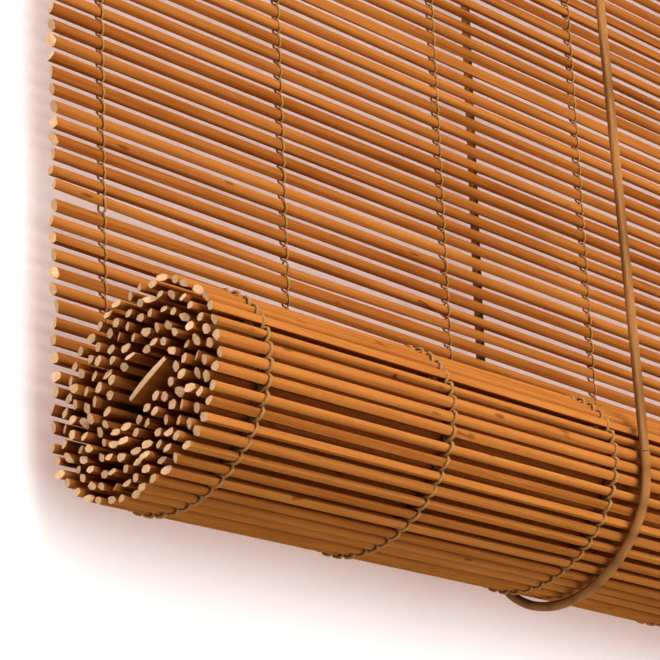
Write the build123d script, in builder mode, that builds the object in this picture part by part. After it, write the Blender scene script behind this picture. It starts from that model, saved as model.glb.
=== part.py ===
"""Bamboo roll-up blind, partly raised.

A reed mat hangs from a timber headrail and its lower part is rolled up in two lift cords, which run
over pulleys to a cord lock and a turned pull. X runs along the reeds, +Y into the wall, +Z up, and the
origin is midway between the two hanging holes, on the plane of the wall. All sizes are in millimetres.
"""

import os
from math import atan, ceil, cos, hypot, pi, radians, sin, tan

from build123d import *

os.makedirs("parts", exist_ok=True)

# Mat of split reeds
mat_width = 800.0
reed_depth = 3.0
reed_height = 3.3
reed_flat = 1.7
reed_pitch = 5.0
hanging_reeds = 121
row_inset = 20.0
stitch_rows = 11
thread_width = 1.1
thread_depth = 0.6

# Roll at the foot of the mat, an oval spiral measured at the reeds' centres, which lie closer there
rolled_pitch = 4.3
roll_long = 33.4
roll_short = 27.8
roll_tilt = 35.0
turn_step = 3.9
turn_drop = 0.2
roll_turns = 5.44
web_depth = 0.8
steps_per_turn = 720

# Slat that ends the mat, lying in the core of the roll
slat_width = 16.0
slat_depth = 2.0
slat_crown = 0.6
slat_tilt = 32.0
slat_turn = 4.54
slat_clearance = 0.8

# Headrail, wider than the mat so that the pull hangs clear of the roll, and the clamp strip behind it
rail_overhang = 34.0
rail_depth = 38.0
rail_height = 20.0
rail_chamfer = 1.5
clamp_depth = 10.0
clamp_chamfer = 1.0
mat_top_cover = 2.5
nail_radius = 0.6
nail_head_radius = 2.0
nail_head_depth = 0.8
nail_length = 26.0
nail_count = 8
nail_inset = 30.0
nail_row = 2

# Hanging plates
hook_hole_radius = 2.5
hook_spacing = 600.0
hook_rise = 10.0
plate_width = 16.0
plate_depth = 1.5
plate_length = 34.0
plate_screw_rise = 7.0
plate_screw_spacing = 7.5

# Screws, with many-sided shanks
shank_sides = 8
screw_radius = 1.2
screw_head_radius = 2.3
screw_head_depth = 1.2
screw_head_slope = 45.0
screw_length = 9.0

# Lift cords
cord_radius = 1.5
cord_inset = 207.5
cord_sides = 8
cord_clearance = 0.3
sling_turns = 0.51
sling_steps = 12
sling_back_shift = 16.0
sling_front_shift = 24.0
arc_steps = 6
run_gap = 0.5
anchor_clearance = 0.2
knot_radius = 4.0
knot_height = 6.0

# Pulleys
groove_path_radius = 9.0
wheel_radius = 10.5
wheel_width = 5.6
wheel_rim = 0.6
wheel_gap = 0.4
axle_radius = 1.5
axle_clearance = 0.05
axle_head_radius = 2.4
axle_head_depth = 0.8
wheel_drop = 14.0
pulley_setback = 10.0
bracket_sheet = 1.2
bracket_width = 20.0
bracket_ear = 11.0
bracket_skirt = 5.0
ear_screw_inset = 5.0

# Cord lock
lock_inset = 28.0
lock_sheet = 1.5
lock_skirt = 14.0
lock_reach_left = 12.0
lock_reach_right = 24.0
lock_roller_radius = 4.0
lock_roller_rise = 3.0
lock_slot_clearance = 0.1
lock_travel = 4.0
lock_slot_angle = 60.0
lock_screw_x = 7.0

# Pull
pull_drop = 150.0
pull_length = 40.0
pull_radius = 11.0
pull_neck_radius = 7.5
pull_foot_radius = 9.0
pull_bore_radius = 5.1
pull_recess_radius = 7.0
pull_recess_depth = 8.0
pull_belly_share = 0.62
pull_knot_clearance = 0.2

# Overrun of every through cut
cut = 1.0

# Planes that the pieces share, from the wall forwards and from the hanging holes down
clamp_back = -plate_depth
clamp_front = clamp_back - clamp_depth
mat_y = clamp_front - reed_depth / 2
rail_back = mat_y - reed_depth / 2 - thread_depth
rail_front = rail_back - rail_depth
rail_top = -hook_rise
rail_foot = rail_top - rail_height
rail_middle = (rail_top + rail_foot) / 2
rail_width = mat_width + 2 * rail_overhang
mat_left = -mat_width / 2
mat_top = rail_top - mat_top_cover
mat_foot = mat_top - (hanging_reeds - 1) * reed_pitch
row_step = (mat_width - 2 * row_inset) / (stitch_rows - 1)

wheel_z = rail_foot - wheel_drop
run_z = wheel_z + groove_path_radius
cord_step = wheel_width + 2 * wheel_gap
pulley_y = rail_front + pulley_setback
front_lane = pulley_y - cord_step / 2
back_lane = pulley_y + cord_step / 2
lock_x = rail_width / 2 - lock_inset
tail_x = lock_x + groove_path_radius
tail_top = wheel_z - lock_skirt
pull_top = tail_top - pull_drop


def roll_point(turns, outward=0.0):
    """Place (y, z) on the spiral, so many turns from where the mat meets it, moved out of the roll."""
    tilt = radians(roll_tilt)
    start = pi - atan(roll_short / roll_long * tan(tilt))
    depth = hypot(roll_long * cos(tilt), roll_short * sin(tilt))
    drop = roll_long * cos(start) * sin(tilt) + roll_short * sin(start) * cos(tilt)
    angle = start + turns * 2 * pi
    long_axis = roll_long - turn_step * turns
    short_axis = roll_short - turn_step * turns
    forward = long_axis * cos(angle) * cos(tilt) - short_axis * sin(angle) * sin(tilt)
    up = long_axis * cos(angle) * sin(tilt) + short_axis * sin(angle) * cos(tilt)
    y = mat_y - depth - forward
    z = mat_foot - drop - turn_drop * turns + up
    if outward:
        way_y, way_z = roll_way(turns)
        y -= outward * way_z
        z += outward * way_y
    return y, z


def roll_way(turns):
    """Unit direction (y, z) in which the mat travels along the spiral."""
    before = roll_point(turns - 1 / steps_per_turn)
    after = roll_point(turns + 1 / steps_per_turn)
    length = hypot(after[0] - before[0], after[1] - before[1])
    return (after[0] - before[0]) / length, (after[1] - before[1]) / length


def roll_stations():
    """Turns at which the rolled reeds lie, evenly spaced along the spiral."""
    stations = []
    walked = 0.0
    last = roll_point(0)
    for step in range(1, ceil(roll_turns * steps_per_turn)):
        here = roll_point(step / steps_per_turn)
        walked += hypot(here[0] - last[0], here[1] - last[1])
        last = here
        if walked >= rolled_pitch:
            stations.append(step / steps_per_turn)
            walked -= rolled_pitch
    return stations


def shifted(point, way, along, outward):
    """A point (y, z) moved along the mat and out of the roll."""
    return point[0] + along * way[0] - outward * way[1], point[1] + along * way[1] + outward * way[0]


def roll_outline():
    """Outline of the rolled mat: flats on every reed, a valley between each two, out and back again."""
    stations = roll_stations()
    outer, inner = [], []
    for number, turns in enumerate(stations):
        centre, way = roll_point(turns), roll_way(turns)
        if number:
            middle = (turns + stations[number - 1]) / 2
            outer.append(roll_point(middle, web_depth / 2))
            inner.append(roll_point(middle, -web_depth / 2))
        else:
            outer.append(shifted(centre, way, -reed_height / 2, 0))
        for side in (-1, 1):
            outer.append(shifted(centre, way, side * reed_flat / 2, reed_depth / 2))
            inner.append(shifted(centre, way, side * reed_flat / 2, -reed_depth / 2))
    outer.append(shifted(centre, way, reed_height / 2, 0))
    return outer + inner[::-1]


def cord_tube(points):
    """A round cord, as a many-sided tube along straight runs, added to the part being built."""
    with BuildLine() as route:
        Polyline(*points)
    start = Vector(*points[0])
    heading = Vector(*points[1]) - start
    with BuildSketch(Plane(origin=start, z_dir=heading)) as section:
        RegularPolygon(cord_radius, cord_sides)
    sweep(sections=section.sketch, path=route.wires()[0], transition=Transition.RIGHT)


def sling_shift(step):
    """How far left of its anchor a lift cord lies, at one step of its way under the roll."""
    return sling_back_shift + (sling_front_shift - sling_back_shift) * step / sling_steps


def wheel_bend(centre_x, lane, first, last):
    """Points of a cord where it bends round a wheel, between two angles in degrees."""
    points = []
    for step in range(arc_steps + 1):
        angle = radians(first + (last - first) * step / arc_steps)
        x = centre_x + groove_path_radius * cos(angle)
        points.append((x, lane, wheel_z + groove_path_radius * sin(angle)))
    return points


# Mat: six-sided reeds in one sheet, held by the stitch rows at its two sides
with BuildPart() as reed_mat:
    with BuildSketch(Plane.YZ.offset(mat_left)) as reeds:
        with Locations(*[(mat_y, mat_top - reed_pitch * n) for n in range(hanging_reeds)]):
            Polygon(
                (-reed_depth / 2, -reed_flat / 2),
                (0, -reed_height / 2),
                (reed_depth / 2, -reed_flat / 2),
                (reed_depth / 2, reed_flat / 2),
                (0, reed_height / 2),
                (-reed_depth / 2, reed_flat / 2),
                align=None,
            )
    extrude(amount=mat_width)
    thread_front = mat_y - reed_depth / 2 - thread_depth
    thread_height = mat_top - mat_foot + reed_flat
    for side in (-1, 1):
        with Locations((side * (mat_width / 2 - row_inset), thread_front, (mat_top + mat_foot) / 2)):
            Box(thread_width, thread_depth, thread_height, align=(Align.CENTER, Align.MIN, Align.CENTER))
reed_mat.part.label = "reed_mat"
export_step(reed_mat.part, "parts/reed_mat.step")

# The other stitch rows, lying on the fronts of the reeds
with BuildPart() as stitch_threads:
    inner_rows = [mat_left + row_inset + row_step * n for n in range(1, stitch_rows - 1)]
    with Locations(*[(x, thread_front, (mat_top + mat_foot) / 2) for x in inner_rows]):
        Box(thread_width, thread_depth, thread_height, align=(Align.CENTER, Align.MIN, Align.CENTER))
stitch_threads.part.label = "stitch_threads"
export_step(stitch_threads.part, "parts/stitch_threads.step")

# Rolled part of the mat, all its turns in one piece
with BuildPart() as rolled_mat:
    with BuildSketch(Plane.YZ.offset(mat_left)):
        with BuildLine():
            Polyline(*roll_outline(), close=True)
        make_face()
    extrude(amount=mat_width)
rolled_mat.part.label = "rolled_mat"
export_step(rolled_mat.part, "parts/rolled_mat.step")

# Bottom slat: a crowned strip in the core, one edge near the turn round it, the other lower and further back
with BuildPart() as bottom_slat:
    slat_front = roll_point(slat_turn, -(reed_depth / 2 + slat_clearance))
    slat_way = (0, cos(radians(slat_tilt)), -sin(radians(slat_tilt)))
    with BuildSketch(Plane(origin=(mat_left, *slat_front), x_dir=slat_way, z_dir=(1, 0, 0))):
        with BuildLine():
            under = Line((0, -slat_depth / 2), (slat_width, -slat_depth / 2))
            near = Line(under @ 0, (0, slat_depth / 2 - slat_crown))
            far = Line(under @ 1, (slat_width, slat_depth / 2 - slat_crown))
            ThreePointArc(near @ 1, (slat_width / 2, slat_depth / 2), far @ 1)
        make_face()
    extrude(amount=mat_width)
bottom_slat.part.label = "bottom_slat"
export_step(bottom_slat.part, "parts/bottom_slat.step")

# Places of the nails, plates and pulleys along the rail
nail_span = mat_width - 2 * nail_inset
nail_places = [-nail_span / 2 + nail_span * n / (nail_count - 1) for n in range(nail_count)]
nail_z = mat_top - reed_pitch * (nail_row - 1) - reed_pitch / 2
plate_places = {"left": -hook_spacing / 2, "right": hook_spacing / 2}
plate_screw_top = rail_top - plate_screw_rise
plate_screws_z = (plate_screw_top, plate_screw_top - plate_screw_spacing)
plate_screw_places = [(x, z) for x in plate_places.values() for z in plate_screws_z]
cord_places = {"left": cord_inset - mat_width / 2, "right": mat_width / 2 - cord_inset}
cord_lanes = {"left": front_lane, "right": back_lane}
wheel_lanes = {"left": (front_lane,), "right": (front_lane, back_lane)}
wheel_places = {side: x + groove_path_radius for side, x in cord_places.items()}
ear_screw_x = bracket_width / 2 + bracket_ear - ear_screw_inset
bracket_y = {side: sum(lanes) / len(lanes) for side, lanes in wheel_lanes.items()}
bracket_inner = {side: cord_step * len(lanes) for side, lanes in wheel_lanes.items()}
lock_screw_places = [(lock_x + way * lock_screw_x, pulley_y) for way in (-1, 1)]
ear_screw_places = [
    (wheel_places[side] + way * ear_screw_x, bracket_y[side]) for side in wheel_places for way in (-1, 1)
]
rail_screw_places = ear_screw_places + lock_screw_places

# Headrail, drilled for the nails from behind and for the screws from below
with BuildPart() as headrail:
    with Locations((0, rail_back, rail_middle)):
        Box(rail_width, rail_depth, rail_height, align=(Align.CENTER, Align.MAX, Align.CENTER))
    chamfer(headrail.edges().filter_by(Axis.X), rail_chamfer)
    nail_tip = clamp_back - nail_head_depth - nail_length
    with BuildSketch(Plane.XZ.offset(-rail_back)):
        with Locations(*[(x, nail_z) for x in nail_places]):
            RegularPolygon(nail_radius, shank_sides)
    extrude(amount=rail_back - nail_tip, mode=Mode.SUBTRACT)
    with BuildSketch(Plane.XY.offset(rail_foot)):
        with Locations(*rail_screw_places):
            RegularPolygon(screw_radius, shank_sides)
    extrude(amount=screw_length, mode=Mode.SUBTRACT)
headrail.part.label = "headrail"
export_step(headrail.part, "parts/headrail.step")

# Clamp strip behind the mat, with a hole for the standing end of each cord
anchor_y = (clamp_back + clamp_front) / 2
with BuildPart() as clamp_strip:
    with Locations((0, clamp_back, rail_middle)):
        Box(mat_width, clamp_depth, rail_height, align=(Align.CENTER, Align.MAX, Align.CENTER))
    chamfer(clamp_strip.edges().filter_by(Axis.X), clamp_chamfer)
    with BuildSketch(Plane.XZ.offset(-clamp_back)):
        with Locations(*[(x, nail_z) for x in nail_places]):
            RegularPolygon(nail_radius, shank_sides)
    extrude(amount=clamp_depth, mode=Mode.SUBTRACT)
    with BuildSketch(Plane.XZ.offset(-clamp_back)):
        with Locations(*[(x, nail_z) for x in nail_places]):
            RegularPolygon(nail_head_radius, shank_sides)
    extrude(amount=nail_head_depth, mode=Mode.SUBTRACT)
    with BuildSketch(Plane.XZ.offset(-clamp_back)):
        with Locations(*plate_screw_places):
            RegularPolygon(screw_radius, shank_sides)
    extrude(amount=screw_length - plate_depth, mode=Mode.SUBTRACT)
    with BuildSketch(Plane.XY.offset(rail_top)):
        with Locations(*[(x, anchor_y) for x in cord_places.values()]):
            Circle(cord_radius + anchor_clearance)
    extrude(amount=-rail_height, mode=Mode.SUBTRACT)
clamp_strip.part.label = "clamp_strip"
export_step(clamp_strip.part, "parts/clamp_strip.step")

# Nails through the clamp strip, between two reeds, into the headrail
with BuildPart() as clamp_nails:
    with BuildSketch(Plane.XZ.offset(-clamp_back)):
        with Locations(*[(x, nail_z) for x in nail_places]):
            RegularPolygon(nail_head_radius, shank_sides)
    extrude(amount=nail_head_depth)
    with BuildSketch(Plane.XZ.offset(-clamp_back)):
        with Locations(*[(x, nail_z) for x in nail_places]):
            RegularPolygon(nail_radius, shank_sides)
    extrude(amount=nail_head_depth + nail_length)
clamp_nails.part.label = "clamp_nails"
export_step(clamp_nails.part, "parts/clamp_nails.step")

# Hanging plates on the back of the clamp strip
for side, x in plate_places.items():
    with BuildPart() as hanging_plate:
        with BuildSketch(Plane.XZ):
            with Locations((x, 0)):
                Circle(plate_width / 2)
                Rectangle(plate_width, plate_length - plate_width / 2, align=(Align.CENTER, Align.MAX))
                Circle(hook_hole_radius, mode=Mode.SUBTRACT)
        extrude(amount=plate_depth)
        with Locations(*[Plane((x, 0, z), z_dir=(0, 1, 0)) for z in plate_screws_z]):
            CounterSinkHole(screw_radius, screw_head_radius, depth=plate_depth + cut)
    hanging_plate.part.label = f"hanging_plate_{side}"
    export_step(hanging_plate.part, f"parts/hanging_plate_{side}.step")

# Countersunk screws of the plates
with BuildPart() as plate_screws:
    with BuildSketch(Plane.XZ):
        with Locations(*plate_screw_places):
            Circle(screw_head_radius)
    extrude(amount=screw_head_radius - screw_radius, taper=screw_head_slope)
    with BuildSketch(Plane.XZ):
        with Locations(*plate_screw_places):
            RegularPolygon(screw_radius, shank_sides)
    extrude(amount=screw_length)
plate_screws.part.label = "plate_screws"
export_step(plate_screws.part, "parts/plate_screws.step")

# Pulley brackets: a folded sheet with two cheeks and an ear at each end
for side, x in wheel_places.items():
    cheek_height = wheel_drop + bracket_skirt
    with BuildPart() as pulley_bracket:
        with Locations((x, bracket_y[side], rail_foot)):
            Box(
                bracket_width,
                bracket_inner[side] + 2 * bracket_sheet,
                cheek_height,
                align=(Align.CENTER, Align.CENTER, Align.MAX),
            )
        with Locations((x, bracket_y[side], rail_foot - bracket_sheet)):
            Box(
                bracket_width + cut,
                bracket_inner[side],
                cheek_height,
                align=(Align.CENTER, Align.CENTER, Align.MAX),
                mode=Mode.SUBTRACT,
            )
        cheek_corners = pulley_bracket.edges().filter_by(Axis.Y).group_by(Axis.Z)[0]
        chamfer(cheek_corners, bracket_skirt)
        with Locations((x, bracket_y[side], rail_foot)):
            Box(
                bracket_width + 2 * bracket_ear,
                bracket_inner[side] + 2 * bracket_sheet,
                bracket_sheet,
                align=(Align.CENTER, Align.CENTER, Align.MAX),
            )
        with BuildSketch(Plane.XY.offset(rail_foot)):
            with Locations(*[(x + way * ear_screw_x, bracket_y[side]) for way in (-1, 1)]):
                Circle(screw_radius)
        extrude(amount=-bracket_sheet, mode=Mode.SUBTRACT)
        with BuildSketch(Plane.XZ.offset(-bracket_y[side])):
            with Locations((x, wheel_z)):
                Circle(axle_radius)
        extrude(amount=bracket_inner[side], both=True, mode=Mode.SUBTRACT)
    pulley_bracket.part.label = f"pulley_bracket_{side}"
    export_step(pulley_bracket.part, f"parts/pulley_bracket_{side}.step")

# Axles, headed over the cheeks, and the grooved wheels on them
wheel_floor = groove_path_radius - cord_radius - cord_clearance
groove_half = cord_radius + cord_clearance
for side, x in wheel_places.items():
    axle_length = bracket_inner[side] + 2 * bracket_sheet
    with BuildPart() as pulley_axle:
        with BuildSketch(Plane.XZ.offset(-bracket_y[side] - axle_length / 2)):
            with Locations((x, wheel_z)):
                Circle(axle_radius)
        extrude(amount=axle_length)
        for face_y, way in ((-axle_length / 2, -1), (axle_length / 2, 1)):
            with BuildSketch(Plane.XZ.offset(-bracket_y[side] - face_y)):
                with Locations((x, wheel_z)):
                    Circle(axle_head_radius)
            extrude(amount=-way * axle_head_depth)
    pulley_axle.part.label = f"pulley_axle_{side}"
    export_step(pulley_axle.part, f"parts/pulley_axle_{side}.step")

wheel_names = {
    "pulley_wheel_left": ("left", front_lane),
    "pulley_wheel_right_front": ("right", front_lane),
    "pulley_wheel_right_back": ("right", back_lane),
}
for name, (side, lane) in wheel_names.items():
    with BuildPart() as pulley_wheel:
        with BuildSketch(Plane(origin=(wheel_places[side], lane, wheel_z), x_dir=(1, 0, 0), z_dir=(0, 0, 1))):
            with BuildLine():
                Polyline(
                    (axle_radius + axle_clearance, -wheel_width / 2),
                    (wheel_radius, -wheel_width / 2),
                    (wheel_radius, wheel_rim - wheel_width / 2),
                    (wheel_floor, -groove_half),
                    (wheel_floor, groove_half),
                    (wheel_radius, wheel_width / 2 - wheel_rim),
                    (wheel_radius, wheel_width / 2),
                    (axle_radius + axle_clearance, wheel_width / 2),
                    close=True,
                )
            make_face()
        revolve(axis=Axis((wheel_places[side], lane, wheel_z), (0, 1, 0)))
    pulley_wheel.part.label = name
    export_step(pulley_wheel.part, f"parts/{name}.step")

# Screws of the brackets and the lock, up into the headrail
with BuildPart() as rail_screws:
    heads = {bracket_sheet: ear_screw_places, lock_sheet: lock_screw_places}
    for sheet, places in heads.items():
        with BuildSketch(Plane.XY.offset(rail_foot - sheet)):
            with Locations(*places):
                Circle(screw_head_radius)
        extrude(amount=-screw_head_depth)
        with BuildSketch(Plane.XY.offset(rail_foot - sheet)):
            with Locations(*places):
                RegularPolygon(screw_radius, shank_sides)
        extrude(amount=sheet + screw_length)
rail_screws.part.label = "rail_screws"
export_step(rail_screws.part, "parts/rail_screws.step")

# Cord lock: a folded housing with a slanted slot in each cheek for the lock roller
lock_inner = 2 * cord_step
lock_height = wheel_drop + lock_skirt
roller_x = tail_x + cord_radius + cord_clearance + lock_roller_radius
roller_z = wheel_z - lock_roller_rise
slot_way = (cos(radians(lock_slot_angle)), sin(radians(lock_slot_angle)))
with BuildPart() as cord_lock:
    lock_width = lock_reach_left + lock_reach_right
    with Locations((lock_x - lock_reach_left, pulley_y, rail_foot)):
        Box(lock_width, lock_inner + 2 * lock_sheet, lock_height, align=(Align.MIN, Align.CENTER, Align.MAX))
    with Locations((lock_x - lock_reach_left - cut, pulley_y, rail_foot - lock_sheet)):
        Box(
            lock_width + 2 * cut,
            lock_inner,
            lock_height,
            align=(Align.MIN, Align.CENTER, Align.MAX),
            mode=Mode.SUBTRACT,
        )
    lock_corners = cord_lock.edges().filter_by(Axis.Y).group_by(Axis.Z)[0]
    chamfer(lock_corners, lock_skirt / 2)
    with BuildSketch(Plane.XY.offset(rail_foot)):
        with Locations(*lock_screw_places):
            Circle(screw_radius)
    extrude(amount=-lock_sheet, mode=Mode.SUBTRACT)
    with BuildSketch(Plane.XZ.offset(-pulley_y)):
        with Locations((lock_x, wheel_z)):
            Circle(axle_radius)
        with Locations(
            Location(
                (roller_x + slot_way[0] * lock_travel / 2, roller_z + slot_way[1] * lock_travel / 2),
                lock_slot_angle,
            )
        ):
            SlotCenterToCenter(lock_travel, 2 * (axle_radius + lock_slot_clearance))
    extrude(amount=lock_inner, both=True, mode=Mode.SUBTRACT)
cord_lock.part.label = "cord_lock"
export_step(cord_lock.part, "parts/cord_lock.step")

# Guide roller of the lock on its pin, and the lock roller with its own journals
with BuildPart() as lock_pin:
    with BuildSketch(Plane.XZ.offset(-pulley_y)):
        with Locations((lock_x, wheel_z)):
            Circle(axle_radius)
    extrude(amount=lock_inner / 2 + lock_sheet, both=True)
    for way in (-1, 1):
        with BuildSketch(Plane.XZ.offset(-pulley_y + way * (lock_inner / 2 + lock_sheet))):
            with Locations((lock_x, wheel_z)):
                Circle(axle_head_radius)
        extrude(amount=way * axle_head_depth)
lock_pin.part.label = "lock_pin"
export_step(lock_pin.part, "parts/lock_pin.step")

with BuildPart() as guide_roller:
    guide_half = lock_inner / 2 - wheel_gap
    with BuildSketch(Plane(origin=(lock_x, pulley_y, wheel_z), x_dir=(1, 0, 0), z_dir=(0, 0, 1))):
        with BuildLine():
            Polyline(
                (axle_radius + axle_clearance, -guide_half),
                (wheel_radius, -guide_half),
                (wheel_radius, wheel_rim - guide_half),
                (wheel_floor, wheel_rim - guide_half),
                (wheel_floor, guide_half - wheel_rim),
                (wheel_radius, guide_half - wheel_rim),
                (wheel_radius, guide_half),
                (axle_radius + axle_clearance, guide_half),
                close=True,
            )
        make_face()
    revolve(axis=Axis((lock_x, pulley_y, wheel_z), (0, 1, 0)))
guide_roller.part.label = "guide_roller"
export_step(guide_roller.part, "parts/guide_roller.step")

with BuildPart() as lock_roller:
    with BuildSketch(Plane.XZ.offset(-pulley_y)):
        with Locations((roller_x, roller_z)):
            Circle(lock_roller_radius)
    extrude(amount=guide_half - wheel_rim - wheel_gap, both=True)
    with BuildSketch(Plane.XZ.offset(-pulley_y)):
        with Locations((roller_x, roller_z)):
            Circle(axle_radius)
    extrude(amount=lock_inner / 2 + lock_sheet + axle_head_depth, both=True)
lock_roller.part.label = "lock_roller"
export_step(lock_roller.part, "parts/lock_roller.step")

# Lift cords: down behind the mat, under the roll, up its front, over the pulley and along to the lock
sling_offset = reed_depth / 2 + cord_radius + cord_clearance
sling_line = [roll_point(sling_turns * n / sling_steps, sling_offset) for n in range(sling_steps + 1)]
back_end, front_end = sling_line[0], sling_line[-1]
for side, x in cord_places.items():
    lane = cord_lanes[side]
    with BuildPart() as back_run:
        back_foot = (x - sling_back_shift, back_end[0], back_end[1] + run_gap)
        cord_tube([(x, anchor_y, rail_top), (x, anchor_y, rail_foot), back_foot])
    back_run.part.label = f"lift_cord_{side}_back"
    export_step(back_run.part, f"parts/lift_cord_{side}_back.step")

    with BuildPart() as sling:
        cord_tube([(x - sling_shift(step), *point) for step, point in enumerate(sling_line)])
    sling.part.label = f"lift_cord_{side}_sling"
    export_step(sling.part, f"parts/lift_cord_{side}_sling.step")

    with BuildPart() as front_run:
        front_foot = (x - sling_front_shift, front_end[0], front_end[1] + run_gap)
        cord_tube([(x, lane, wheel_z - run_gap), front_foot])
    front_run.part.label = f"lift_cord_{side}_front"
    export_step(front_run.part, f"parts/lift_cord_{side}_front.step")

    with BuildPart() as top_run:
        over_pulley = wheel_bend(wheel_places[side], lane, 180, 90)
        over_guide = wheel_bend(lock_x, lane, 90, 0)
        cord_tube(over_pulley + over_guide + [(tail_x, lane, tail_top)])
    top_run.part.label = f"lift_cord_{side}_top"
    export_step(top_run.part, f"parts/lift_cord_{side}_top.step")

    with BuildPart() as pull_cord:
        cord_foot = pull_top - pull_length + pull_recess_depth
        cord_tube([(tail_x, lane, tail_top), (tail_x, lane, cord_foot)])
    pull_cord.part.label = f"pull_cord_{side}"
    export_step(pull_cord.part, f"parts/pull_cord_{side}.step")

    with BuildPart() as anchor_knot:
        with BuildSketch(Plane.XY.offset(rail_top)):
            with Locations((x, anchor_y)):
                RegularPolygon(knot_radius, cord_sides)
        extrude(amount=knot_height)
        chamfer(anchor_knot.faces().filter_by(Axis.Z).edges(), cord_radius)
    anchor_knot.part.label = f"anchor_knot_{side}"
    export_step(anchor_knot.part, f"parts/anchor_knot_{side}.step")

# Turned pull, bored for both cords, and the knot in its foot
with BuildPart() as cord_pull:
    with BuildSketch(Plane(origin=(tail_x, pulley_y, pull_top), x_dir=(1, 0, 0), z_dir=(0, -1, 0))):
        with BuildLine():
            neck = Line((pull_bore_radius, 0), (pull_neck_radius, 0))
            belly = (pull_radius, -pull_length * pull_belly_share)
            flank = ThreePointArc(neck @ 1, belly, (pull_foot_radius, -pull_length))
            Polyline(
                flank @ 1,
                (pull_recess_radius, -pull_length),
                (pull_recess_radius, pull_recess_depth - pull_length),
                (pull_bore_radius, pull_recess_depth - pull_length),
                neck @ 0,
            )
        make_face()
    revolve(axis=Axis((tail_x, pulley_y, pull_top), (0, 0, 1)))
cord_pull.part.label = "cord_pull"
export_step(cord_pull.part, "parts/cord_pull.step")

with BuildPart() as pull_knot:
    with BuildSketch(Plane.XY.offset(pull_top - pull_length + pull_recess_depth)):
        with Locations((tail_x, pulley_y)):
            RegularPolygon(pull_recess_radius - pull_knot_clearance, cord_sides)
    extrude(amount=-knot_height)
    chamfer(pull_knot.faces().filter_by(Axis.Z).sort_by(Axis.Z)[0].edges(), cord_radius)
pull_knot.part.label = "pull_knot"
export_step(pull_knot.part, "parts/pull_knot.step")
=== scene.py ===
"""Bamboo roll-up blind: its looks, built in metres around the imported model."""

from math import atan, atan2, cos, hypot, pi, radians, sin, tan, tanh
from random import Random

import bmesh
import bpy
from mathutils import Matrix, Vector


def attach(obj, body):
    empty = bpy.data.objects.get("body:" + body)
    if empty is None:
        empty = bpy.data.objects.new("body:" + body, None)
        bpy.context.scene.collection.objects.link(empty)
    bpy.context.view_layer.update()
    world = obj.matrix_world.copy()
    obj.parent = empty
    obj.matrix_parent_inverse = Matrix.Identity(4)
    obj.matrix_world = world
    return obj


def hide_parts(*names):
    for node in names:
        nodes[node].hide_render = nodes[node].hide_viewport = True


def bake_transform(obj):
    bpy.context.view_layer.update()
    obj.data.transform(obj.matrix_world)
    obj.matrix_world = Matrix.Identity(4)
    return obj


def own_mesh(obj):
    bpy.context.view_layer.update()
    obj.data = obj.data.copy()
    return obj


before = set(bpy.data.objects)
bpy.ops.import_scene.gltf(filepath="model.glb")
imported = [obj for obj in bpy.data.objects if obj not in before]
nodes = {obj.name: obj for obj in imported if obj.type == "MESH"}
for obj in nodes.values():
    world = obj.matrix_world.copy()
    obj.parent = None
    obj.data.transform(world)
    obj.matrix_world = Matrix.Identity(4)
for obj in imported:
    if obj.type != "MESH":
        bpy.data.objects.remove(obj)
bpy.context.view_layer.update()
scene = bpy.context.scene

# Camera: below the roll and to the left of it, looking up along the blind through a long lens, which
# keeps the reeds nearly parallel.
camera_data = bpy.data.cameras.new("camera")
camera_data.sensor_width = 36
camera_data.lens = 162.1
camera = bpy.data.objects.new("camera", camera_data)
camera.location = (-0.9248, -0.5756, -0.8569)
camera.rotation_euler = (radians(109.3625), radians(2.1879), radians(-47.9277))
scene.collection.objects.link(camera)
scene.camera = camera

# Lift cords: two braided cords of brown polyester. Each is knotted on the clamp strip, hangs down behind
# the mat, carries the roll in a sling, and comes up in front to its pulley and along to the cord lock.
cord_radius = 0.0015
cord_sides = 12
cord_x = {"left": -0.1925, "right": 0.1925}
cord_lane = {"left": -0.0463, "right": -0.0399}
anchor_y = -0.0065
rail_top = -0.010
rail_foot = -0.030
wheel_z = -0.044
wheel_path = 0.009
lock_x = 0.406
tail_top = -0.058
sling_back, sling_front = 0.016, 0.024
sling_turns = 0.51
sling_steps = 12
sling_out = 0.0036

mat_y = -0.013
mat_top = -0.0125
reed_pitch = 0.005
hanging_reeds = 121
mat_foot = mat_top - reed_pitch * (hanging_reeds - 1)
roll_long, roll_short = 0.0334, 0.0278
roll_tilt = radians(35)
turn_step = 0.0039
turn_drop = 0.0002
roll_turns = 5.44
turn_steps = 720
mat_width = 0.8


def roll_point(turns, outward=0.0):
    """Place (y, z) on the oval spiral at the roll's ends, so many turns from where the mat meets it."""
    start = pi - atan(roll_short / roll_long * tan(roll_tilt))
    depth = hypot(roll_long * cos(roll_tilt), roll_short * sin(roll_tilt))
    drop = roll_long * cos(start) * sin(roll_tilt) + roll_short * sin(start) * cos(roll_tilt)
    angle = start + turns * 2 * pi
    along = (roll_long - turn_step * turns) * cos(angle)
    across = (roll_short - turn_step * turns) * sin(angle)
    y = mat_y - depth - along * cos(roll_tilt) + across * sin(roll_tilt)
    z = mat_foot - drop - turn_drop * turns + along * sin(roll_tilt) + across * cos(roll_tilt)
    if outward:
        way_y, way_z = roll_way(turns)
        y -= outward * way_z
        z += outward * way_y
    return y, z


def roll_way(turns):
    """Unit direction (y, z) in which the mat travels along the spiral."""
    before = roll_point(turns - 1 / turn_steps)
    after = roll_point(turns + 1 / turn_steps)
    length = hypot(after[0] - before[0], after[1] - before[1])
    return (after[0] - before[0]) / length, (after[1] - before[1]) / length


droop = 0.0056
droop_reach = 0.26
end_sag = 0.0012
end_swell = 0.0010
even_share = 0.4


def roll_rise(x):
    """How much higher than the straight solid the roll lies: lower at its ends, higher towards the slings."""
    return droop * min(1, (mat_width / 2 - abs(x)) / droop_reach) - end_sag


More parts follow.
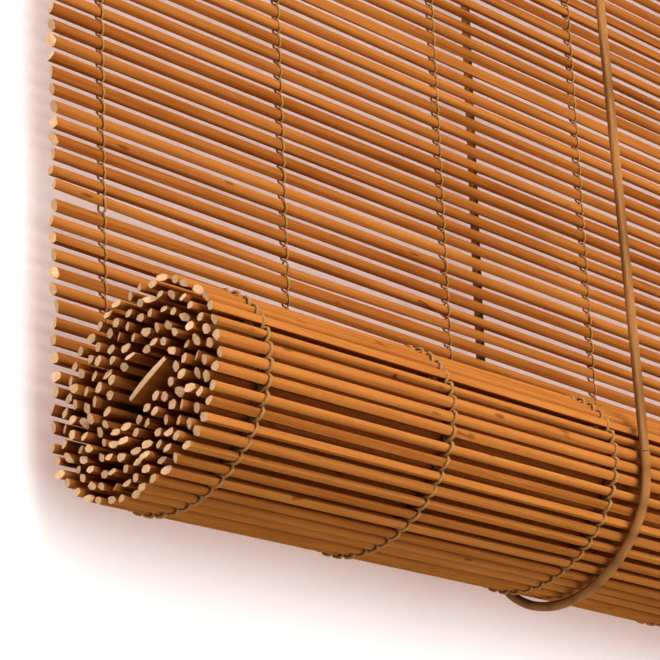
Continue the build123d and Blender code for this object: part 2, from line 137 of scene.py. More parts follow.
def on_roll(x, turns, outward=0.0):
    """Place (x, y, z) on the roll, which is tighter and lies a little higher between the two slings."""
    tight = end_swell * (roll_rise(x) / droop - even_share) * (1 - turns / roll_turns)
    y, z = roll_point(turns, outward - tight)
    return x, y, z + roll_rise(x)


def linear(code):
    """An sRGB hex colour as linear red, green and blue, and full alpha."""
    shares = [int(code[n : n + 2], 16) / 255 for n in (1, 3, 5)]
    return [s / 12.92 if s <= 0.04045 else ((s + 0.055) / 1.055) ** 2.4 for s in shares] + [1]


def start_finish(name):
    """A new material with its node tree and shader."""
    material = bpy.data.materials.new(name)
    material.use_nodes = True
    return material, material.node_tree, material.node_tree.nodes["Principled BSDF"]


def add_node(tree, kind, inputs, **settings):
    """Adds a node with its settings, and sets each input or links it to another node's output."""
    made = tree.nodes.new(kind)
    for name, value in settings.items():
        setattr(made, name, value)
    for key, value in inputs.items():
        if isinstance(value, bpy.types.NodeSocket):
            tree.links.new(value, made.inputs[key])
        else:
            made.inputs[key].default_value = value
    return made


# Painted shade: colours are darkened where other pieces stand close.
painted_shade_shut = 0.06
painted_shade_samples = 6


def paint_crevice_shade(tree, colour, painted_shade_colour, reach, clear):
    """Painted shade: darkens a colour where other pieces stand close, until so much around it is clear."""
    around = add_node(tree, "ShaderNodeAmbientOcclusion", {"Distance": reach}, samples=painted_shade_samples)
    share = add_node(
        tree, "ShaderNodeMapRange", {0: around.outputs["AO"], 1: painted_shade_shut, 2: clear, 3: 0.0, 4: 1.0}
    ).outputs[0]
    return add_node(
        tree, "ShaderNodeMix", {0: share, 6: linear(painted_shade_colour), 7: colour}, data_type="RGBA"
    ).outputs[2]


def tube_mesh(name, routes, radius, sides, order=0):
    """A mesh tube round each route, straight from point to point, or a smooth spline of the given order."""
    curve = bpy.data.curves.new(name, "CURVE")
    curve.dimensions = "3D"
    curve.bevel_depth = radius
    curve.bevel_resolution = sides // 2 - 2
    curve.use_fill_caps = True
    for route in routes:
        spline = curve.splines.new("NURBS" if order else "POLY")
        spline.points.add(len(route) - 1)
        for point, place in zip(spline.points, route):
            point.co = (*place, 1)
        if order:
            spline.order_u = order
            spline.use_endpoint_u = True
    holder = bpy.data.objects.new(name, curve)
    scene.collection.objects.link(holder)
    depsgraph = bpy.context.evaluated_depsgraph_get()
    mesh = bpy.data.meshes.new_from_object(holder.evaluated_get(depsgraph))
    length = max(spline.calc_length() for spline in curve.splines)
    bpy.data.objects.remove(holder)
    bpy.data.curves.remove(curve)
    mesh.name = name
    for corner in mesh.uv_layers[0].data:
        corner.uv = (corner.uv[0] * 2 * pi * radius, corner.uv[1] * length)
    return mesh


def add_piece(mesh, materials, body, slot, *replaced):
    """Puts a finished mesh in the scene as a piece that rides on a body, if any, and stands for CAD nodes."""
    for material in materials:
        mesh.materials.append(material)
    piece = bpy.data.objects.new(mesh.name, mesh)
    scene.collection.objects.link(piece)
    if body:
        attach(piece, body)
    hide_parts(*replaced)
    return piece


# Braided polyester: brown yarns cross in a diamond and leave a matt cord with a darker line between them.
# The yarns are drawn 1.4 mm wide, coarser than they are, so that they show.
braid_size = 0.0014
braid_slant = radians(40)
wave_unit = 2 * pi / 20  # scale at which a wave texture repeats once in a metre
cord_braid, tree, shader = start_finish("braided brown polyester cord")
uv = add_node(tree, "ShaderNodeTexCoord", {}).outputs["UV"]
waves = []
for turn in (1, -1):
    slant = add_node(tree, "ShaderNodeMapping", {"Vector": uv, "Rotation": (0, 0, turn * braid_slant)})
    waves.append(
        add_node(
            tree,
            "ShaderNodeTexWave",
            {"Vector": slant.outputs[0], "Scale": wave_unit / braid_size, "Distortion": 0.6, "Detail": 1.0},
        ).outputs["Fac"]
    )
yarns = add_node(tree, "ShaderNodeMath", {0: waves[0], 1: waves[1]}, operation="MAXIMUM").outputs[0]
shade = add_node(
    tree, "ShaderNodeMix", {0: yarns, 6: linear("#683812"), 7: linear("#CC8A4A")}, data_type="RGBA"
).outputs[2]
# Painted shade: the cord darkens where other pieces stand close, as at the wheels, knots and roll.
shade = paint_crevice_shade(tree, shade, "#2A1204", 0.012, 0.6)
bump = add_node(tree, "ShaderNodeBump", {"Height": yarns, "Strength": 0.8, "Distance": 0.0003})
tree.links.new(shade, shader.inputs["Base Color"])
tree.links.new(bump.outputs[0], shader.inputs["Normal"])
shader.inputs["Roughness"].default_value = 0.72
shader.inputs["Specular IOR Level"].default_value = 0.2


bend_steps = 6


def wheel_bend(centre_x, lane, first, last):
    """Route of a cord round a grooved wheel, between two angles in degrees."""
    angles = [radians(first + (last - first) * step / bend_steps) for step in range(bend_steps + 1)]
    return [(centre_x + wheel_path * cos(a), lane, wheel_z + wheel_path * sin(a)) for a in angles]


back_bend = 0.01
for side, x in cord_x.items():
    lane = cord_lane[side]
    sling = []
    for step in range(sling_steps + 1):
        share = step / sling_steps
        aside = x - sling_back - (sling_front - sling_back) * share
        sling.append(on_roll(aside, sling_turns * share, sling_out))
    heights = (rail_top, rail_foot, rail_foot - back_bend)
    runs = {
        "back": [(x, anchor_y, height) for height in heights] + [sling[0]],
        "front": [(x, lane, wheel_z), sling[-1]],
    }
    for run, route in runs.items():
        mesh = tube_mesh(f"braid_{side}_{run}", [route], cord_radius, cord_sides, order=min(3, len(route)))
        piece = add_piece(mesh, [cord_braid], "headrail", "cord", f"lift_cord_{side}_{run}")
        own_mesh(piece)
    mesh = tube_mesh(f"braid_{side}_sling", [sling], cord_radius, cord_sides, order=3)
    add_piece(mesh, [cord_braid], "roll", "cord", f"lift_cord_{side}_sling")
    over = wheel_bend(x + wheel_path, lane, 180, 90) + wheel_bend(lock_x, lane, 90, 0)
    over.append((lock_x + wheel_path, lane, tail_top))
    mesh = tube_mesh(f"braid_{side}_top", [over], cord_radius, cord_sides, order=3)
    add_piece(mesh, [cord_braid], "headrail", "cord", f"lift_cord_{side}_top")

# Knots: each lift cord is stopped by an overhand knot on the clamp strip. Below the lock both cords hang
# straight down into the turned pull, and one larger knot ties them together in its foot.
knot_height = 0.006
stopper_radius, tie_radius = 0.004, 0.0068
pull_y = -0.0431
cord_foot = -0.240
knot_steps = 24


def overhand_knot(name, centre, radius):
    """Mesh of a pulled-tight overhand knot, so wide and as high as every knot of the blind."""
    reach, rise = radius - cord_radius, knot_height / 2 - cord_radius
    route = []
    for step in range(knot_steps + 1):
        turn = 2 * pi * step / knot_steps
        x = reach * (sin(turn) + 2 * sin(2 * turn)) / 3
        y = reach * (cos(turn) - 2 * cos(2 * turn)) / 3
        route.append((centre[0] + x, centre[1] + y, centre[2] - rise * sin(3 * turn)))
    return tube_mesh(name, [route], cord_radius, cord_sides, order=3)


for side, x in cord_x.items():
    mesh = overhand_knot(f"stopper_{side}", (x, anchor_y, rail_top + knot_height / 2), stopper_radius)
    add_piece(mesh, [cord_braid], "headrail", "cord", f"anchor_knot_{side}")
mesh = overhand_knot("tied_ends", (lock_x + wheel_path, pull_y, cord_foot - knot_height / 2), tie_radius)
tied_ends = add_piece(mesh, [cord_braid], "pull", "cord", "pull_knot")
for side, lane in cord_lane.items():
    top, foot = (lock_x + wheel_path, lane, tail_top), (lock_x + wheel_path, lane, cord_foot)
    mesh = tube_mesh(f"braid_{side}_pull", [[top, foot]], cord_radius, cord_sides, order=2)
    piece = add_piece(mesh, [cord_braid], None, "cord", f"pull_cord_{side}")
    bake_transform(piece)

# Headrail and clamp strip: planed softwood, stained to match the reeds and waxed, with the grain along the
# rail. The mat is nailed between the two. The pull is turned from the same wood, with upright grain.


def stained_timber(name, grain):
    """Stained softwood, with the number of growth rings that a metre holds along each axis."""
    material, tree, shader = start_finish(name)
    place = add_node(tree, "ShaderNodeTexCoord", {}).outputs["Object"]
    lines = add_node(tree, "ShaderNodeMapping", {"Vector": place, "Scale": grain}).outputs[0]
    rings = add_node(
        tree, "ShaderNodeTexNoise", {"Vector": lines, "Detail": 4.0, "Distortion": 0.7, "Scale": 1.0}
    )
    pores = add_node(tree, "ShaderNodeTexNoise", {"Vector": lines, "Detail": 2.0, "Scale": 7.0})
    shade = add_node(
        tree,
        "ShaderNodeMapRange",
        {0: rings.outputs["Fac"], 1: 0.36, 2: 0.66, 3: 0.0, 4: 1.0},
        interpolation_type="SMOOTHSTEP",
    ).outputs[0]
    colour = add_node(
        tree, "ShaderNodeMix", {0: shade, 6: linear("#7C4310"), 7: linear("#B47430")}, data_type="RGBA"
    ).outputs[2]
    rough = add_node(tree, "ShaderNodeMapRange", {0: pores.outputs["Fac"], 1: 0.3, 2: 0.7, 3: 0.42, 4: 0.62})
    bump = add_node(
        tree, "ShaderNodeBump", {"Height": pores.outputs["Fac"], "Strength": 0.3, "Distance": 0.0003}
    )
    tree.links.new(colour, shader.inputs["Base Color"])
    tree.links.new(rough.outputs[0], shader.inputs["Roughness"])
    tree.links.new(bump.outputs[0], shader.inputs["Normal"])
    return material


def finish_nodes(material, *names):
    """Gives a finish to solids that stay as they are."""
    for name in names:
        for slot in nodes[name].material_slots:
            slot.material = material


finish_nodes(stained_timber("stained softwood rail", (7, 190, 190)), "headrail", "clamp_strip")
finish_nodes(stained_timber("stained turned softwood", (260, 260, 12)), "cord_pull")

# Reeds of the mat: split bamboo, stained caramel brown, with irregular rounded sides. Each is sawn off by
# hand at both ends, a little short or long, and shows pale bare wood there. One reed is skewed at its left
# end, and a dark splinter stands off another.
reed_depth = 0.0030
mat_reed = (0.0024, 0.0035, 0.06)  # depth, height and unevenness
reed_sides = 7
reed_cuts = 7
sharp_edge = radians(62)
facet_mean = 1.03
corner_shift = 0.17
size_range = (0.96, 1.05)
wave_range = (5, 11)
sway_depth, sway_height = 0.00016, 0.00022
trim_mean, trim_spread = -0.0011, 0.0006
end_lean = 0.3
end_share = 0.499
# The hanging reeds get a darker mean tone than the rolled ones of the same bamboo: painted light and shade.
mat_shade, shade_spread = 0.12, 0.24
dark_tone = -1.0

# Stained bamboo: fibres of about 70 by 0.8 mm run along the reed, with patches of 45 by 6 mm and a few dark
# specks of 11 by 2 mm. The stain leaves it matt.
bamboo, tree, shader = start_finish("stained split bamboo")
place = add_node(tree, "ShaderNodeTexCoord", {}).outputs["Object"]
fibres = add_node(tree, "ShaderNodeMapping", {"Vector": place, "Scale": (14, 1300, 1300)}).outputs[0]
streak = add_node(tree, "ShaderNodeTexNoise", {"Vector": fibres, "Scale": 1.0, "Detail": 3.0}).outputs["Fac"]
patches = add_node(tree, "ShaderNodeMapping", {"Vector": place, "Scale": (22, 160, 160)}).outputs[0]
patch = add_node(tree, "ShaderNodeTexNoise", {"Vector": patches, "Scale": 1.0, "Detail": 2.0}).outputs["Fac"]
tone = add_node(tree, "ShaderNodeAttribute", {}, attribute_name="tone").outputs["Fac"]
mixed = add_node(tree, "ShaderNodeMath", {0: streak, 1: 0.8, 2: -0.4}, operation="MULTIPLY_ADD").outputs[0]
mixed = add_node(tree, "ShaderNodeMath", {0: patch, 1: 0.7, 2: mixed}, operation="MULTIPLY_ADD").outputs[0]
mixed = add_node(
    tree, "ShaderNodeMath", {0: tone, 1: 0.5, 2: mixed}, operation="MULTIPLY_ADD", use_clamp=True
)
stain_and_painted_shade = add_node(
    tree,
    "ShaderNodeMix",
    {0: mixed.outputs[0], 6: linear("#76380E"), 7: linear("#B26E32")},
    data_type="RGBA",
).outputs[2]
spots = add_node(tree, "ShaderNodeMapping", {"Vector": place, "Scale": (90, 420, 420)}).outputs[0]
spot = add_node(tree, "ShaderNodeTexNoise", {"Vector": spots, "Scale": 1.0, "Detail": 1.0}).outputs["Fac"]
speck = add_node(
    tree, "ShaderNodeMapRange", {0: spot, 1: 0.70, 2: 0.80, 3: 0.0, 4: 0.65}, interpolation_type="SMOOTHSTEP"
).outputs[0]
stain_and_painted_shade = add_node(
    tree, "ShaderNodeMix", {0: speck, 6: stain_and_painted_shade, 7: linear("#55260A")}, data_type="RGBA"
).outputs[2]
# Painted shade: the bamboo darkens where other reeds stand close, deepest inside the roll.
stain_and_painted_shade = paint_crevice_shade(tree, stain_and_painted_shade, "#6C1A02", 0.010, 0.62)
bump = add_node(tree, "ShaderNodeBump", {"Height": streak, "Strength": 0.45, "Distance": 0.0003})
tree.links.new(stain_and_painted_shade, shader.inputs["Base Color"])
tree.links.new(bump.outputs[0], shader.inputs["Normal"])
shader.inputs["Roughness"].default_value = 0.52
shader.inputs["Specular IOR Level"].default_value = 0.0

# Sawn bamboo: bare, pale and dull, with pores of 0.7 mm.
sawn_end, tree, shader = start_finish("sawn bamboo end")
place = add_node(tree, "ShaderNodeTexCoord", {}).outputs["Object"]
pores = add_node(tree, "ShaderNodeTexNoise", {"Vector": place, "Scale": 1400.0, "Detail": 2.0}).outputs["Fac"]
wood = add_node(
    tree, "ShaderNodeMix", {0: pores, 6: linear("#C08858"), 7: linear("#FCD0A0")}, data_type="RGBA"
).outputs[2]
tree.links.new(wood, shader.inputs["Base Color"])
shader.inputs["Roughness"].default_value = 0.8


def finish_mesh(bm, name):
    """Turns a bmesh into a mesh with its sharp edges marked, and frees it."""
    mesh = bpy.data.meshes.new(name)
    bm.to_mesh(mesh)
    bm.free()
    mesh.set_sharp_from_angle(angle=sharp_edge)
    return mesh


bm = bmesh.new()
bmesh.ops.create_cone(
    bm,
    cap_ends=True,
    segments=reed_sides,
    radius1=reed_depth,
    radius2=reed_depth,
    depth=mat_width,
    matrix=Matrix.Rotation(pi / 2, 4, "Y"),
)
long_edges = [edge for edge in bm.edges if edge.calc_length() > mat_width / 2]
bmesh.ops.subdivide_edges(bm, edges=long_edges, cuts=reed_cuts, use_grid_fill=True)
bm.normal_update()
for face in bm.faces:
    sawn = abs(face.normal.x) > 0.5
    face.smooth = not sawn
    face.material_index = int(sawn)
reed_blank = finish_mesh(bm, "reed_blank")


def lay_reed(bm, rng, tone_layer, shade, thickness, turn, course):
    """Adds one reed, about so pale and thick, turned about its length, on its course over x."""
    thick, high, uneven = thickness
    bm.from_mesh(reed_blank)
    bm.verts.ensure_lookup_table()
    verts = bm.verts[-len(reed_blank.vertices) :]
    facets = [rng.uniform(facet_mean - uneven, facet_mean + uneven) for _ in range(reed_sides)]
    corners = [rng.gauss(0, corner_shift) for _ in range(reed_sides)]
    size = rng.uniform(*size_range)
    half_depth, half_height = thick / 2 * size, high / 2 * size
    spin = rng.uniform(0, 2 * pi)
    wave, wave_turn = rng.uniform(*wave_range), rng.uniform(0, 2 * pi)
    sway = [rng.gauss(0, sway_depth), rng.gauss(0, sway_height)]
    ends = {}
    for way in (-1, 1):
        ends[way] = rng.gauss(trim_mean, trim_spread), rng.gauss(0, end_lean), rng.gauss(0, end_lean)
    tone = min(1.0, max(0.0, rng.gauss(shade, shade_spread)))
    turned = Matrix.Rotation(turn, 3, "X")
    for vert in verts:
        angle = atan2(vert.co.z, vert.co.y)
        corner = round(angle / (2 * pi) * reed_sides) % reed_sides
        angle += spin + corners[corner]
        across = facets[corner] * half_depth * cos(angle)
        up = facets[corner] * half_height * sin(angle)
        x = vert.co.x
        if abs(x) > end_share * mat_width:
            way = 1 if x > 0 else -1
            trim, lean_y, lean_z = ends[way]
            x += way * trim + lean_y * across + lean_z * up
        bend = sin(wave * x + wave_turn)
        place = turned @ Vector((0, across + sway[0] * bend, up + sway[1] * bend))
        vert.co = Vector(course(x)) + place
        vert[tone_layer] = tone


skewed_reed, left_skew = 106, {-4: 0.0016, -3: -0.0008}  # rise by tenths of a metre along x
splinter_radii = (0.0004, 0.0002)
splinter_root = Vector((-0.2275, -0.0138, -0.5409))
splinter_tip = Vector((-0.2432, -0.0147, -0.5382))
rng = Random(41)
bm = bmesh.new()
tone_layer = bm.verts.layers.float.new("tone")
for number in range(hanging_reeds):
    height = mat_top - reed_pitch * number
    skew = left_skew if number == skewed_reed else {}
    lay_reed(
        bm,
        rng,
        tone_layer,
        mat_shade,
        mat_reed,
        0,
        lambda x: (x, mat_y, height + skew.get(round(x * 10), 0)),
    )
splinter = splinter_tip - splinter_root
upright = splinter.to_track_quat("Z", "Y").to_matrix().to_4x4()
made = bmesh.ops.create_cone(
    bm,
    cap_ends=True,
    segments=4,
    radius1=splinter_radii[0],
    radius2=splinter_radii[1],
    depth=splinter.length,
    matrix=Matrix.Translation((splinter_root + splinter_tip) / 2) @ upright,
)
for vert in made["verts"]:
    vert[tone_layer] = dark_tone
reed_finishes = [bamboo, sawn_end]
hanging_mat = add_piece(finish_mesh(bm, "hanging_mat"), reed_finishes, "headrail", "reed", "reed_mat")
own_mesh(hanging_mat)

# Roll: the same reeds, wound up five and a half turns from the foot of the mat round a flat bamboo slat,
# which ends the mat and lies loose in the core. They get a paler tone than the hanging reeds, as painted
# light, and the inner turns a darker one, as painted shade. One reed has a dark scar.
rolled_pitch = 0.0043
rolled_reed = (0.0022, 0.0029, 0.15)
# Painted light and shade: the rolled reeds get a paler tone than the hanging ones, each inner turn a darker
# one.
roll_shade, painted_shade_per_turn = 0.78, 0.06
lay_spread = 0.0002
scar_x, scar_turn, scar_out = -0.328, 0.525, 0.0008
scar_size = (0.0006, 0.0005, 0.0009)
stations = []
walked, last = 0.0, roll_point(0)
for step in range(1, int(roll_turns * turn_steps)):
    here = roll_point(step / turn_steps)
    walked += hypot(here[0] - last[0], here[1] - last[1])
    last = here
    if walked >= rolled_pitch:
        stations.append(step / turn_steps)
        walked -= rolled_pitch
bm = bmesh.new()
tone_layer = bm.verts.layers.float.new("tone")
for turns in stations:
    way_y, way_z = roll_way(turns)
    outward = rng.gauss(0, lay_spread)
    turn = atan2(way_z, way_y) + pi / 2
    lay_reed(
        bm,
        rng,
        tone_layer,
        roll_shade - painted_shade_per_turn * turns,
        rolled_reed,
        turn,
        lambda x: on_roll(x, turns, outward),
    )
scar = Matrix.Translation(on_roll(scar_x, scar_turn, scar_out)) @ Matrix.Diagonal((*scar_size, 1))
for vert in bmesh.ops.create_icosphere(bm, subdivisions=1, radius=1, matrix=scar)["verts"]:
    vert[tone_layer] = dark_tone
add_piece(finish_mesh(bm, "rolled_reeds"), reed_finishes, "roll", "reed", "rolled_mat")

# Bottom slat: a flat strip split from a wide cane, with a slightly rounded face, sawn off with the reeds.
# It gets the darkest tone of the stain, as painted shade in the core, and shows its pale sawn end in the
# middle of the roll.
slat_width, slat_depth, slat_crown = 0.016, 0.002, 0.0006
slat_tilt = radians(32)
slat_turn = 4.54
slat_clearance = 0.0008
slat_edge = 0.0003
crown_steps = 6
front_y, front_z = roll_point(slat_turn, -(reed_depth / 2 + slat_clearance))
section = [(0, -slat_depth / 2), (slat_width, -slat_depth / 2)]
for step in range(crown_steps + 1):
    side = 1 - 2 * step / crown_steps
    section.append((slat_width * (1 + side) / 2, slat_depth / 2 - slat_crown * side**2))
bm = bmesh.new()
tone_layer = bm.verts.layers.float.new("tone")
corners = []
for back, up in section:
    y = front_y + back * cos(slat_tilt) + up * sin(slat_tilt)
    z = front_z - back * sin(slat_tilt) + up * cos(slat_tilt)
    corners.append(bm.verts.new((-mat_width / 2, y, z)))
pulled = bmesh.ops.extrude_face_region(bm, geom=[bm.faces.new(corners)], use_keep_orig=True)["geom"]
pulled = [part for part in pulled if isinstance(part, bmesh.types.BMVert)]
bmesh.ops.translate(bm, vec=(mat_width, 0, 0), verts=pulled)
bmesh.ops.recalc_face_normals(bm, faces=bm.faces[:])
ends = [edge for edge in bm.edges if edge.calc_length() < mat_width / 2]
bmesh.ops.bevel(bm, geom=ends, offset=slat_edge, segments=2, profile=0.5, affect="EDGES", material=-1)
long_edges = [edge for edge in bm.edges if edge.calc_length() > mat_width / 2]
bmesh.ops.subdivide_edges(bm, edges=long_edges, cuts=reed_cuts, use_grid_fill=True)
bm.normal_update()
for face in bm.faces:
    face.material_index = int(abs(face.normal.x) > 0.5)
for vert in bm.verts:
    vert.co.z += roll_rise(vert.co.x)
    # Painted shade: the slat in the core of the roll gets the darkest tone.
    vert[tone_layer] = 0.0
add_piece(finish_mesh(bm, "core_slat"), reed_finishes, "roll", "reed", "bottom_slat")

# Stitching: eleven rows of khaki cotton twine. In each row two strands twist round each other between
# the reeds, so that every reed is held between one strand in front and one behind.
row_count = 11
row_inset = 0.020
row_step = (mat_width - 2 * row_inset) / (row_count - 1)
mat_twine, roll_twine = 0.00034, 0.00052
twine_sides = 6
mat_steps, roll_steps = 5, 4
twine_slant = 0.0003
twine_hug = 2.5
twine_lift = 0.6

# Cotton twine: two soft plies that repeat every 1.1 mm, matt, with painted shade where they dip between
# the reeds.
ply_size = 0.0011
twine, tree, shader = start_finish("twisted cotton twine")
uv = add_node(tree, "ShaderNodeTexCoord", {}).outputs["UV"]
ply = add_node(tree, "ShaderNodeMapping", {"Vector": uv, "Rotation": (0, 0, radians(35))}).outputs[0]
lay = add_node(tree, "ShaderNodeTexWave", {"Vector": ply, "Scale": wave_unit / ply_size, "Distortion": 0.8})
shade = add_node(
    tree,
    "ShaderNodeMix",
    {0: lay.outputs["Fac"], 6: linear("#7E4E1C"), 7: linear("#CC944A")},
    data_type="RGBA",
).outputs[2]
# Painted shade: the twine darkens where it dips between the reeds.
shade = paint_crevice_shade(tree, shade, "#42200A", 0.006, 0.5)
bump = add_node(tree, "ShaderNodeBump", {"Height": lay.outputs["Fac"], "Strength": 0.5, "Distance": 0.0002})
tree.links.new(shade, shader.inputs["Base Color"])
tree.links.new(bump.outputs[0], shader.inputs["Normal"])
shader.inputs["Roughness"].default_value = 0.85


def twine_place(along, strand, reach):
    """Sideways and outward shift of a strand, so many reeds along its row."""
    angle = pi * (along + strand)
    return twine_slant * sin(angle), reach * tanh(twine_hug * cos(angle)) / tanh(twine_hug)


rows = [row_inset - mat_width / 2 + row_step * n for n in range(row_count)]
mat_reach = mat_reed[0] / 2 + twine_lift * mat_twine
roll_reach = rolled_reed[0] / 2 + twine_lift * roll_twine
mat_rows, roll_rows = [], []
for x in rows:
    for strand in (0, 1):
        route = []
        for step in range((hanging_reeds - 1) * mat_steps + 1):
            along = step / mat_steps
            aside, outward = twine_place(along, strand, mat_reach)
            route.append((x + aside, mat_y - outward, mat_top - reed_pitch * along))
        mat_rows.append(route)
        route = []
        for step in range(len(stations) * roll_steps + 1):
            along = step / roll_steps
            aside, outward = twine_place(along + hanging_reeds - 1, strand, roll_reach)
            first = int(along)
            turns = ([0] + stations)[first]
            if first < len(stations):
                turns += (stations[first] - turns) * (along - first)
            route.append(on_roll(x + aside, turns, outward))
        roll_rows.append(route)
mesh = tube_mesh("mat_stitching", mat_rows, mat_twine, twine_sides)
mat_stitching = add_piece(mesh, [twine], "headrail", "thread", "stitch_threads")
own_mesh(mat_stitching)
mesh = tube_mesh("roll_stitching", roll_rows, roll_twine, twine_sides)
add_piece(mesh, [twine], "roll", "thread")

# Fittings: plates, brackets and the lock are stamped from sheet steel and zinc plated, which leaves a soft
# grey shine with faint crystals of 2 mm and a grit of 0.4 mm. Screws, nails and axles are zinc plated too.
zinc, tree, shader = start_finish("zinc plated steel")
place = add_node(tree, "ShaderNodeTexCoord", {}).outputs["Object"]
patch = add_node(tree, "ShaderNodeTexVoronoi", {"Vector": place, "Scale": 450.0}).outputs["Distance"]
grit = add_node(tree, "ShaderNodeTexNoise", {"Vector": place, "Scale": 2500.0, "Detail": 2.0}).outputs["Fac"]
colour = add_node(
    tree, "ShaderNodeMix", {0: patch, 6: linear("#ABAEB0"), 7: linear("#808384")}, data_type="RGBA"
).outputs[2]
rough = add_node(tree, "ShaderNodeMapRange", {0: grit, 1: 0.3, 2: 0.7, 3: 0.36, 4: 0.52}).outputs[0]
bump = add_node(tree, "ShaderNodeBump", {"Height": grit, "Strength": 0.12, "Distance": 0.0001})
tree.links.new(colour, shader.inputs["Base Color"])
tree.links.new(rough, shader.inputs["Roughness"])
tree.links.new(bump.outputs[0], shader.inputs["Normal"])
shader.inputs["Metallic"].default_value = 1.0
finish_nodes(zinc, "clamp_nails", "plate_screws", "rail_screws", "cord_lock", "lock_pin")
for side in cord_x:
    finish_nodes(zinc, f"hanging_plate_{side}", f"pulley_bracket_{side}", f"pulley_axle_{side}")

# Pulley wheels and guide roller: cream nylon, moulded and slightly waxy, with soft clouds of 4 mm and a skin
# of 0.3 mm grain from the mould.
nylon, tree, shader = start_finish("cream moulded nylon")
place = add_node(tree, "ShaderNodeTexCoord", {}).outputs["Object"]
cloud = add_node(tree, "ShaderNodeTexNoise", {"Vector": place, "Scale": 260.0, "Detail": 3.0}).outputs["Fac"]
grain = add_node(tree, "ShaderNodeTexNoise", {"Vector": place, "Scale": 3000.0}).outputs["Fac"]
colour = add_node(
    tree, "ShaderNodeMix", {0: cloud, 6: linear("#DCD2BA"), 7: linear("#EFE7D3")}, data_type="RGBA"
).outputs[2]
bump = add_node(tree, "ShaderNodeBump", {"Height": grain, "Strength": 0.1, "Distance": 0.0001})
tree.links.new(colour, shader.inputs["Base Color"])
tree.links.new(bump.outputs[0], shader.inputs["Normal"])
shader.inputs["Roughness"].default_value = 0.42
shader.inputs["IOR"].default_value = 1.53
finish_nodes(nylon, "pulley_wheel_left", "pulley_wheel_right_front", "pulley_wheel_right_back")
finish_nodes(nylon, "guide_roller")

# Lock roller: solid brass, turned on a lathe, which leaves rings 0.6 mm apart and a bright face with worn
# patches of 2 mm.
ring_size = 0.0006
brass, tree, shader = start_finish("turned brass")
place = add_node(tree, "ShaderNodeTexCoord", {}).outputs["Object"]
rings = add_node(
    tree,
    "ShaderNodeTexWave",
    {"Vector": place, "Scale": wave_unit / ring_size, "Distortion": 0.3},
    bands_direction="Y",
).outputs["Fac"]
wear = add_node(tree, "ShaderNodeTexNoise", {"Vector": place, "Scale": 500.0, "Detail": 3.0}).outputs["Fac"]
colour = add_node(
    tree, "ShaderNodeMix", {0: wear, 6: linear("#9C7430"), 7: linear("#D0AA5E")}, data_type="RGBA"
).outputs[2]
bump = add_node(tree, "ShaderNodeBump", {"Height": rings, "Strength": 0.15, "Distance": 0.0001})
tree.links.new(colour, shader.inputs["Base Color"])
tree.links.new(bump.outputs[0], shader.inputs["Normal"])
shader.inputs["Metallic"].default_value = 1.0
shader.inputs["Roughness"].default_value = 0.32
finish_nodes(brass, "lock_roller")

# Studio: a plain white wall close behind the blind and a pale floor far below it. The wall paint glows for
# the camera, with painted shade: dimmer and warmer where the blind stands close. It is clear from behind.
# One broad lamp stands above at the front, a weak one below, and one behind lights the back.
wall_reach = 0.08
wall_shut, wall_open = 0.32, 0.74
dim_glow, full_glow = 0.41, 0.85
pale_from = 0.85
stage_size = 3.0
sky_light = 0.25
stage_paint, tree, shader = start_finish("matt white wall paint")
shader.inputs["Base Color"].default_value = linear("#BEBCBB")
shader.inputs["Roughness"].default_value = 0.9
path = add_node(tree, "ShaderNodeLightPath", {})
seen = path.outputs["Is Camera Ray"]
for ray in ("Is Glossy Ray", "Is Transmission Ray"):
    seen = add_node(tree, "ShaderNodeMath", {0: seen, 1: path.outputs[ray]}, operation="MAXIMUM").outputs[0]
# Painted shade: the wall's glow dims and turns pink where the blind stands close, for its shadow and warm
# bounce.
around = add_node(tree, "ShaderNodeAmbientOcclusion", {"Distance": wall_reach}).outputs["AO"]
clear = add_node(
    tree, "ShaderNodeMapRange", {0: around, 1: wall_shut, 2: wall_open, 3: 0.0, 4: 1.0}
).outputs[0]
painted_shade_glow = add_node(tree, "ShaderNodeMapRange", {0: clear, 3: dim_glow, 4: full_glow}).outputs[0]
lifted = add_node(tree, "ShaderNodeMath", {0: seen, 1: painted_shade_glow}, operation="MULTIPLY").outputs[0]
pale = add_node(tree, "ShaderNodeMapRange", {0: clear, 2: pale_from}).outputs[0]
painted_warm_shade = add_node(
    tree, "ShaderNodeMix", {0: pale, 6: linear("#F0C0B2"), 7: linear("#FFFBF9")}, data_type="RGBA"
).outputs[2]
tree.links.new(painted_warm_shade, shader.inputs["Emission Color"])
tree.links.new(lifted, shader.inputs["Emission Strength"])
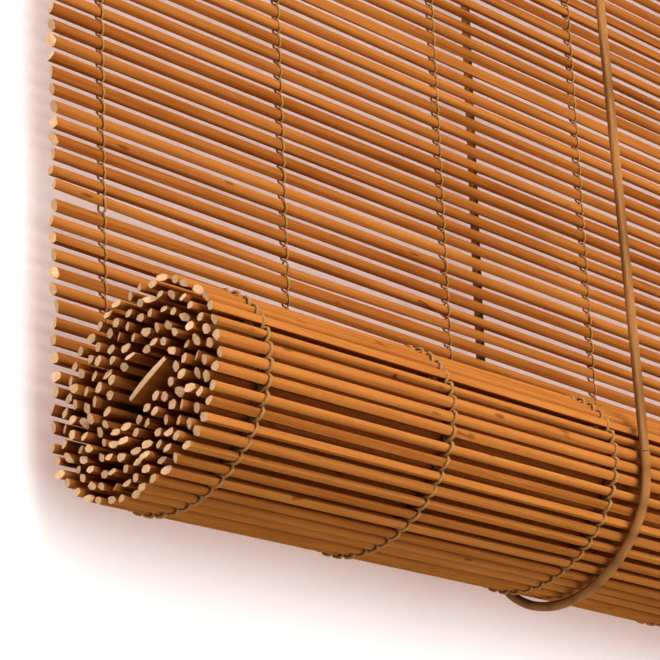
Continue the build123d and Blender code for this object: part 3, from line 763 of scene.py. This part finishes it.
behind = add_node(tree, "ShaderNodeNewGeometry", {}).outputs["Backfacing"]
behind = add_node(tree, "ShaderNodeMath", {0: behind, 1: path.outputs["Is Shadow Ray"]}, operation="MAXIMUM")
glass = add_node(tree, "ShaderNodeBsdfTransparent", {}).outputs[0]
one_way = add_node(tree, "ShaderNodeMixShader", {0: behind.outputs[0], 1: shader.outputs[0], 2: glass})
tree.links.new(one_way.outputs[0], tree.nodes["Material Output"].inputs["Surface"])
for name, turn, place in (
    ("wall", (pi / 2, 0, 0), (0, 0.002, -0.6)),
    ("floor", (0, 0, 0), (0, -1.0, -1.8)),
):
    bm = bmesh.new()
    bmesh.ops.create_grid(bm, size=stage_size)
    flat = bpy.data.objects.new(name, finish_mesh(bm, name))
    flat.data.materials.append(stage_paint)
    flat.rotation_euler = turn
    flat.location = place
    scene.collection.objects.link(flat)

for name, power, size, place, aim in (
    ("key", 88, 1.5, (-0.7, -1.9, 0.75), (-0.1, 0, -0.5)),
    ("fill", 28, 2.0, (0.6, -2.2, -1.2), (-0.1, 0, -0.5)),
    ("rear", 30, 1.5, (0.3, 1.9, 0.4), (0, 0, -0.35)),
):
    lamp = bpy.data.lights.new(name, "AREA")
    lamp.energy = power
    lamp.size = size
    holder = bpy.data.objects.new(name, lamp)
    holder.location = place
    holder.rotation_euler = (Vector(aim) - Vector(place)).to_track_quat("-Z", "Y").to_euler()
    scene.collection.objects.link(holder)

world = bpy.data.worlds.new("studio")
world.use_nodes = True
sky = world.node_tree
sky.nodes["Background"].inputs["Color"].default_value = linear("#FFFDFC")
path = add_node(sky, "ShaderNodeLightPath", {})
seen = [path.outputs[ray] for ray in ("Is Camera Ray", "Is Transmission Ray")]
seen = add_node(sky, "ShaderNodeMath", {0: seen[0], 1: seen[1]}, operation="MAXIMUM").outputs[0]
strength = add_node(sky, "ShaderNodeMapRange", {0: seen, 3: sky_light, 4: 1.0}).outputs[0]
sky.links.new(strength, sky.nodes["Background"].inputs["Strength"])
scene.world = world
scene.view_settings.view_transform = "Standard"
